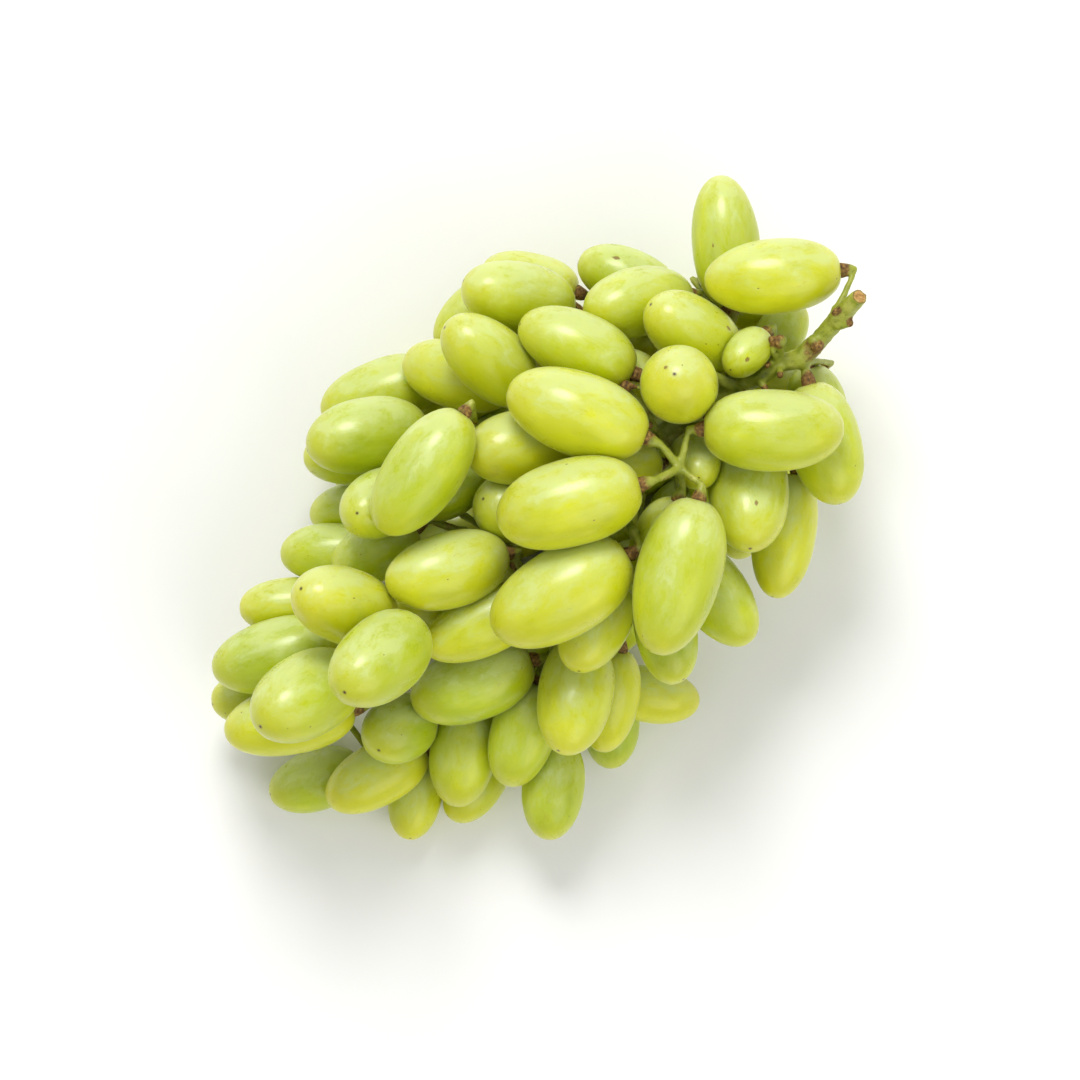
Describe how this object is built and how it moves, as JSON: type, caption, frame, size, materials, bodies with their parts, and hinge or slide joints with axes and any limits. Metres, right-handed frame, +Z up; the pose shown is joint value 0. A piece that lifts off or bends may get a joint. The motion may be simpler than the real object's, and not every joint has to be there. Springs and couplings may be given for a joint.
{
  "type": "bunch of grapes",
  "caption": "Picked bunch of long green table grapes lying on its side: oval berries crowded round a branching green-brown stalk with a cut end.",
  "frame": {"origin": "middle of the bunch's footprint, on the surface it lies on", "axes": "+X along the bunch towards the cut end of the stalk, +Z up out of the surface, +Y across the bunch"},
  "size_m": [0.1586, 0.1042, 0.0675],
  "materials": {
    "grape_skin": "satin, waxy, slightly see-through grape skin with a thin bloom",
    "stalk": "matt green-brown stalk, woody at its forks and berry seats"
  },
  "bodies": {
    "root": {"berries_01": "grape_skin", "berries_02": "grape_skin", "berries_03": "grape_skin", "berries_04": "grape_skin", "berries_05": "grape_skin", "berries_06": "grape_skin", "berries_07": "grape_skin", "berries_08": "grape_skin", "berries_09": "grape_skin", "berries_10": "grape_skin", "berries_11": "grape_skin", "berries_12": "grape_skin", "berries_13": "grape_skin", "berries_14": "grape_skin", "berries_15": "grape_skin", "berries_16": "grape_skin", "berries_17": "grape_skin", "berries_18": "grape_skin", "berries_19": "grape_skin", "berries_20": "grape_skin", "berries_21": "grape_skin", "berries_22": "grape_skin", "berries_23": "grape_skin", "stems": "stalk"}
  },
  "joints": []
}
